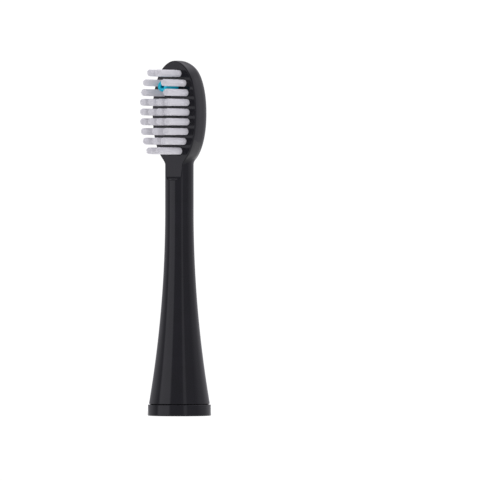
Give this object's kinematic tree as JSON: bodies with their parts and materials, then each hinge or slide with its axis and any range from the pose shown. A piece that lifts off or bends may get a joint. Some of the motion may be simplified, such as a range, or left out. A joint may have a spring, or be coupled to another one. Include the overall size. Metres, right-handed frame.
{
  "type": "sonic flossing toothbrush head",
  "caption": "Replacement head of a sonic toothbrush: a flared hollow skirt and slim neck carry an oval paddle with bristle tufts around a blue water-jet nozzle.",
  "frame": {"origin": "centre of the foot ring's underside, on the axis of the drive shaft", "axes": "+Z from the foot to the tip, bristles towards -Y, +X to the right as seen from the bristle side"},
  "size_m": [0.0151, 0.0192, 0.0839],
  "materials": {
    "black_plastic": "glossy black moulding",
    "black_plastic_ring": "satin black moulding",
    "socket_plastic": "natural acetal",
    "spring_steel": "cold-rolled stainless strip",
    "seal_rubber": "matt black rubber",
    "blue_elastomer": "translucent blue elastomer",
    "anchor_metal": "drawn strip",
    "bristle_nylon": "translucent nylon filaments in bundles"
  },
  "bodies": {
    "head": {"brush_body": "black_plastic", "drive_socket": "socket_plastic", "inlet_seal": "seal_rubber", "jet_nozzle": "blue_elastomer", "tuft_anchors": "anchor_metal", "tuft_roots": "bristle_nylon"},
    "foot_ring": {"base_ring": "black_plastic_ring"},
    "retaining_spring": {"spring_clip": "spring_steel"},
    "tuft_row_1": {"tuft_r1_c1": "bristle_nylon", "tuft_r1_c2": "bristle_nylon"},
    "tuft_row_2": {"tuft_r2_c1": "bristle_nylon", "tuft_r2_c2": "bristle_nylon"},
    "tuft_row_3": {"tuft_r3_c1": "bristle_nylon", "tuft_r3_c2": "bristle_nylon"},
    "tuft_row_4": {"tuft_r4_c1": "bristle_nylon", "tuft_r4_c2": "bristle_nylon", "tuft_r4_c3": "bristle_nylon", "tuft_r4_c4": "bristle_nylon"},
    "tuft_row_5": {"tuft_r5_c1": "bristle_nylon", "tuft_r5_c2": "bristle_nylon", "tuft_r5_c3": "bristle_nylon", "tuft_r5_c4": "bristle_nylon"},
    "tuft_row_6": {"tuft_r6_c1": "bristle_nylon", "tuft_r6_c2": "bristle_nylon", "tuft_r6_c3": "bristle_nylon", "tuft_r6_c4": "bristle_nylon"},
    "tuft_row_7": {"tuft_r7_c1": "bristle_nylon", "tuft_r7_c2": "bristle_nylon", "tuft_r7_c3": "bristle_nylon"},
    "tuft_row_8": {"tuft_r8_c1": "bristle_nylon", "tuft_r8_c2": "bristle_nylon", "tuft_r8_c3": "bristle_nylon"},
    "tuft_row_9": {"tuft_r9_c1": "bristle_nylon", "tuft_r9_c2": "bristle_nylon"}
  },
  "joints": [
    {"name": "foot_ring_pull", "type": "slide", "parent": "head", "child": "foot_ring", "axis": [0, 0, -1], "range_m": [0, 0.006]},
    {"name": "spring_press", "type": "hinge", "parent": "head", "child": "retaining_spring", "pos_m": [0, 0.00175, 0.0209], "axis": [-1, 0, 0], "range_deg": [0, 4], "stiffness_Nm_per_rad": 0.05, "springref_deg": -2.86},
    {"name": "tuft_row_1_bend", "type": "hinge", "parent": "head", "child": "tuft_row_1", "pos_m": [0, -0.00245, 0.08082], "axis": [1, 0, 0], "range_deg": [-8, 8], "stiffness_Nm_per_rad": 0.005},
    {"name": "tuft_row_2_bend", "type": "hinge", "parent": "head", "child": "tuft_row_2", "pos_m": [0, -0.00245, 0.07853], "axis": [1, 0, 0], "range_deg": [-8, 8], "stiffness_Nm_per_rad": 0.005},
    {"name": "tuft_row_3_bend", "type": "hinge", "parent": "head", "child": "tuft_row_3", "pos_m": [0, -0.00245, 0.07624], "axis": [1, 0, 0], "range_deg": [-8, 8], "stiffness_Nm_per_rad": 0.005},
    {"name": "tuft_row_4_bend", "type": "hinge", "parent": "head", "child": "tuft_row_4", "pos_m": [0, -0.00245, 0.07395], "axis": [1, 0, 0], "range_deg": [-8, 8], "stiffness_Nm_per_rad": 0.005},
    {"name": "tuft_row_5_bend", "type": "hinge", "parent": "head", "child": "tuft_row_5", "pos_m": [0, -0.00245, 0.07166], "axis": [1, 0, 0], "range_deg": [-8, 8], "stiffness_Nm_per_rad": 0.005},
    {"name": "tuft_row_6_bend", "type": "hinge", "parent": "head", "child": "tuft_row_6", "pos_m": [0, -0.00245, 0.06937], "axis": [1, 0, 0], "range_deg": [-8, 8], "stiffness_Nm_per_rad": 0.005},
    {"name": "tuft_row_7_bend", "type": "hinge", "parent": "head", "child": "tuft_row_7", "pos_m": [0, -0.00245, 0.06708], "axis": [1, 0, 0], "range_deg": [-8, 8], "stiffness_Nm_per_rad": 0.005},
    {"name": "tuft_row_8_bend", "type": "hinge", "parent": "head", "child": "tuft_row_8", "pos_m": [0, -0.00245, 0.06479], "axis": [1, 0, 0], "range_deg": [-8, 8], "stiffness_Nm_per_rad": 0.005},
    {"name": "tuft_row_9_bend", "type": "hinge", "parent": "head", "child": "tuft_row_9", "pos_m": [0, -0.00245, 0.0625], "axis": [1, 0, 0], "range_deg": [-8, 8], "stiffness_Nm_per_rad": 0.005}
  ],
  "couplings": [
    {"joint": "tuft_row_1_bend", "follows": "tuft_row_5_bend", "ratio": 1},
    {"joint": "tuft_row_2_bend", "follows": "tuft_row_5_bend", "ratio": 1},
    {"joint": "tuft_row_3_bend", "follows": "tuft_row_5_bend", "ratio": 1},
    {"joint": "tuft_row_4_bend", "follows": "tuft_row_5_bend", "ratio": 1},
    {"joint": "tuft_row_6_bend", "follows": "tuft_row_5_bend", "ratio": 1},
    {"joint": "tuft_row_7_bend", "follows": "tuft_row_5_bend", "ratio": 1},
    {"joint": "tuft_row_8_bend", "follows": "tuft_row_5_bend", "ratio": 1},
    {"joint": "tuft_row_9_bend", "follows": "tuft_row_5_bend", "ratio": 1}
  ]
}
